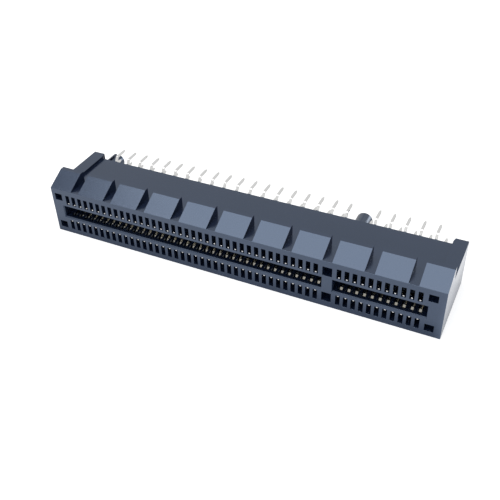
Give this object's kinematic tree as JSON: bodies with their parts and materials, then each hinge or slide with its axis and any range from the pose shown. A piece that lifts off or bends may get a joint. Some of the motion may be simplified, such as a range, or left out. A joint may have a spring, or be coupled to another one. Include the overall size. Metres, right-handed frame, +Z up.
{
  "type": "card edge connector",
  "caption": "Long moulded board connector with a keyed slot for a circuit card's edge, wedge ribs along one side, spring contacts with solder tails, and round locating pegs.",
  "frame": {"origin": "centre of the underside of the bounding box, on the flat side without wedges", "axes": "+X along the connector towards the short section, -Y out of the mating face, +Y towards the board, +Z up through the wedge-ribbed side"},
  "size_m": [0.056, 0.015, 0.0086],
  "materials": {
    "housing": "glass-filled moulded thermoplastic, near-black slate blue, between satin and gloss",
    "contacts": "formed copper alloy strip, gold plated where it meets the card and tin plated at the tails"
  },
  "bodies": {
    "root": {"housing": "housing", "contact_pair_01": "contacts", "contact_pair_02": "contacts", "contact_pair_03": "contacts", "contact_pair_04": "contacts", "contact_pair_05": "contacts", "contact_pair_06": "contacts", "contact_pair_07": "contacts", "contact_pair_08": "contacts", "contact_pair_09": "contacts", "contact_pair_10": "contacts", "contact_pair_11": "contacts", "contact_pair_12": "contacts", "contact_pair_13": "contacts", "contact_pair_14": "contacts", "contact_pair_15": "contacts", "contact_pair_16": "contacts", "contact_pair_17": "contacts", "contact_pair_18": "contacts", "contact_pair_19": "contacts", "contact_pair_20": "contacts", "contact_pair_21": "contacts", "contact_pair_22": "contacts", "contact_pair_23": "contacts", "contact_pair_24": "contacts", "contact_pair_25": "contacts", "contact_pair_26": "contacts", "contact_pair_27": "contacts", "contact_pair_28": "contacts", "contact_pair_29": "contacts", "contact_pair_30": "contacts", "contact_pair_31": "contacts", "contact_pair_32": "contacts", "contact_pair_33": "contacts", "contact_pair_34": "contacts", "contact_pair_35": "contacts", "contact_pair_36": "contacts", "contact_pair_37": "contacts", "contact_pair_38": "contacts", "contact_pair_39": "contacts", "contact_pair_40": "contacts", "contact_pair_41": "contacts", "contact_pair_42": "contacts", "contact_pair_43": "contacts", "contact_pair_44": "contacts", "contact_pair_45": "contacts", "contact_pair_46": "contacts", "contact_pair_47": "contacts", "contact_pair_48": "contacts", "contact_pair_49": "contacts"}
  },
  "joints": []
}
